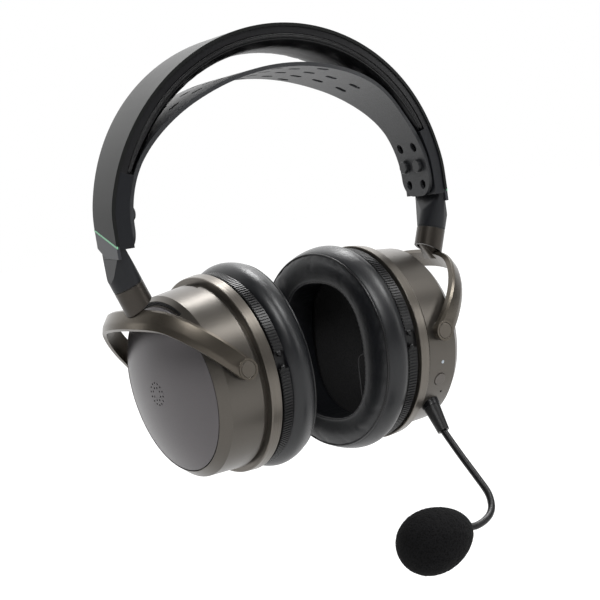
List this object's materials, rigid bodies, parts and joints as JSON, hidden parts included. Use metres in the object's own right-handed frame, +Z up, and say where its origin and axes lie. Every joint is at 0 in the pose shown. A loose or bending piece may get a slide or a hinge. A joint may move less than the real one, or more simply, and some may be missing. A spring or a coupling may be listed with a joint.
{
  "type": "over-ear headset",
  "caption": "Over-ear wireless headset with a sprung band, a perforated suspension strap, yoke-hung ear cups, twist-lock pads and a plug-in boom microphone.",
  "frame": {"origin": "midway between the two ear cups, at the height of the middle of the ears, in the headband's middle plane", "axes": "+X towards the wearer's left, which is the microphone's side; -Y towards the wearer's front; +Z up to the crown"},
  "size_m": [0.1982, 0.1642, 0.2763],
  "materials": {
    "metal_skin": "satin, fine sparkle",
    "black_plastic": "satin",
    "spring_steel": "brushed",
    "leatherette": "fine grain",
    "accent_green": "satin",
    "cap_plastic": "satin",
    "cover_plastic": "satin",
    "strap_plastic": "fine speckle",
    "collar_bronze": "satin",
    "yoke_bronze": "satin",
    "cup_bronze": "satin",
    "dome_grey": "satin",
    "flange_metal": "brushed",
    "pin_steel": "turned",
    "washer_black": "plain",
    "driver_plastic": "plain",
    "magnet_metal": "plated",
    "film": "thin film with printed traces",
    "screw_steel": "blackened",
    "battery_wrap": "wrapped cell",
    "board_green": "solder mask",
    "light_lens": "translucent",
    "button_grey": "satin",
    "port_metal": "plated",
    "cloth_black": "fine knit",
    "plug_metal": "plated",
    "neck_black": "satin sleeve",
    "foam_black": "open-cell foam"
  },
  "bodies": {
    "headband": {"headband_skin": "metal_skin", "headband_frame": "black_plastic", "headband_spring": "spring_steel", "headband_pad": "leatherette", "accent_lines": "accent_green", "end_cap_right": "cap_plastic", "end_cap_left": "cap_plastic", "end_cover_right": "cover_plastic", "end_cover_left": "cover_plastic", "strap_studs": "strap_plastic", "suspension_strap": "strap_plastic"},
    "yoke_right": {"collar_right": "collar_bronze", "yoke_right": "yoke_bronze", "swivel_pin_right": "pin_steel", "swivel_washer_right": "washer_black", "pivot_pins_right": "yoke_bronze"},
    "cup_right": {"back_cover_right": "dome_grey", "cup_body_right": "cup_bronze", "baffle_ring_right": "flange_metal", "vent_insert_right": "black_plastic", "driver_frame_right": "driver_plastic", "driver_magnets_right": "magnet_metal", "driver_film_right": "film", "cup_screws_right": "screw_steel", "battery": "battery_wrap"},
    "pad_right": {"pad_ring_right": "black_plastic", "pad_cloth_right": "cloth_black", "ear_pad_right": "leatherette"},
    "yoke_left": {"collar_left": "collar_bronze", "yoke_left": "yoke_bronze", "swivel_pin_left": "pin_steel", "swivel_washer_left": "washer_black", "pivot_pins_left": "yoke_bronze"},
    "cup_left": {"back_cover_left": "dome_grey", "cup_body_left": "cup_bronze", "baffle_ring_left": "flange_metal", "vent_insert_left": "black_plastic", "driver_frame_left": "driver_plastic", "driver_magnets_left": "magnet_metal", "driver_film_left": "film", "cup_screws_left": "screw_steel", "circuit_board": "board_green", "status_light": "light_lens", "wheel_bracket": "black_plastic", "charge_port": "port_metal", "audio_jack": "black_plastic", "mic_socket": "black_plastic"},
    "pad_left": {"pad_ring_left": "black_plastic", "pad_cloth_left": "cloth_black", "ear_pad_left": "leatherette"},
    "power_button_body": {"power_button": "button_grey"},
    "volume_wheel_body": {"volume_wheel": "black_plastic"},
    "mic_plug_body": {"mic_plug": "plug_metal"},
    "boom": {"boom_boot": "black_plastic", "gooseneck": "neck_black", "mic_capsule": "black_plastic", "windscreen": "foam_black"}
  },
  "joints": [
    {"name": "yoke_turn_right", "type": "hinge", "parent": "headband", "child": "yoke_right", "pos_m": [-0.0899, -0.002, 0.0533], "axis": [-0.342, 0, 0.9397], "range_deg": [-21.2, 8.8]},
    {"name": "yoke_turn_left", "type": "hinge", "parent": "headband", "child": "yoke_left", "pos_m": [0.0899, -0.002, 0.0533], "axis": [0.342, 0, 0.9397], "range_deg": [-19.8, 10.2]},
    {"name": "cup_tilt_right", "type": "hinge", "parent": "yoke_right", "child": "cup_right", "pos_m": [-0.0579, 0.00952, 0.0046], "axis": [-0.1015, 0.9942, -0.0369], "range_deg": [-12, 12]},
    {"name": "cup_tilt_left", "type": "hinge", "parent": "yoke_left", "child": "cup_left", "pos_m": [0.05606, 0.00675, 0.00527], "axis": [-0.0786, 0.9965, 0.0286], "range_deg": [-12, 12]},
    {"name": "pad_lock_right", "type": "hinge", "parent": "cup_right", "child": "pad_right", "pos_m": [-0.0414, 0.01101, -0.00044], "axis": [-0.9925, -0.1037, -0.0644], "range_deg": [0, 18]},
    {"name": "pad_lock_left", "type": "hinge", "parent": "cup_left", "child": "pad_left", "pos_m": [0.03974, 0.00562, -0.00039], "axis": [0.9965, 0.0794, -0.0268], "range_deg": [0, 18]},
    {"name": "power_button_press", "type": "slide", "parent": "cup_left", "child": "power_button_body", "axis": [-0.0595, 0.8958, 0.4404], "range_m": [0, 0.0006], "stiffness_N_per_m": 400},
    {"name": "volume_wheel_turn", "type": "hinge", "parent": "cup_left", "child": "volume_wheel_body", "pos_m": [0.05036, 0.0461, -0.00799], "axis": [0.9965, 0.0794, -0.0268], "range_deg": [-140, 140]},
    {"name": "mic_plug_slide", "type": "slide", "parent": "cup_left", "child": "mic_plug_body", "axis": [0.0181, -0.5161, -0.8563], "range_m": [0, 0.012]},
    {"name": "boom_swing", "type": "hinge", "parent": "mic_plug_body", "child": "boom", "pos_m": [0.05696, -0.02732, -0.03609], "axis": [0.0181, -0.5161, -0.8563], "range_deg": [-25, 25]}
  ]
}
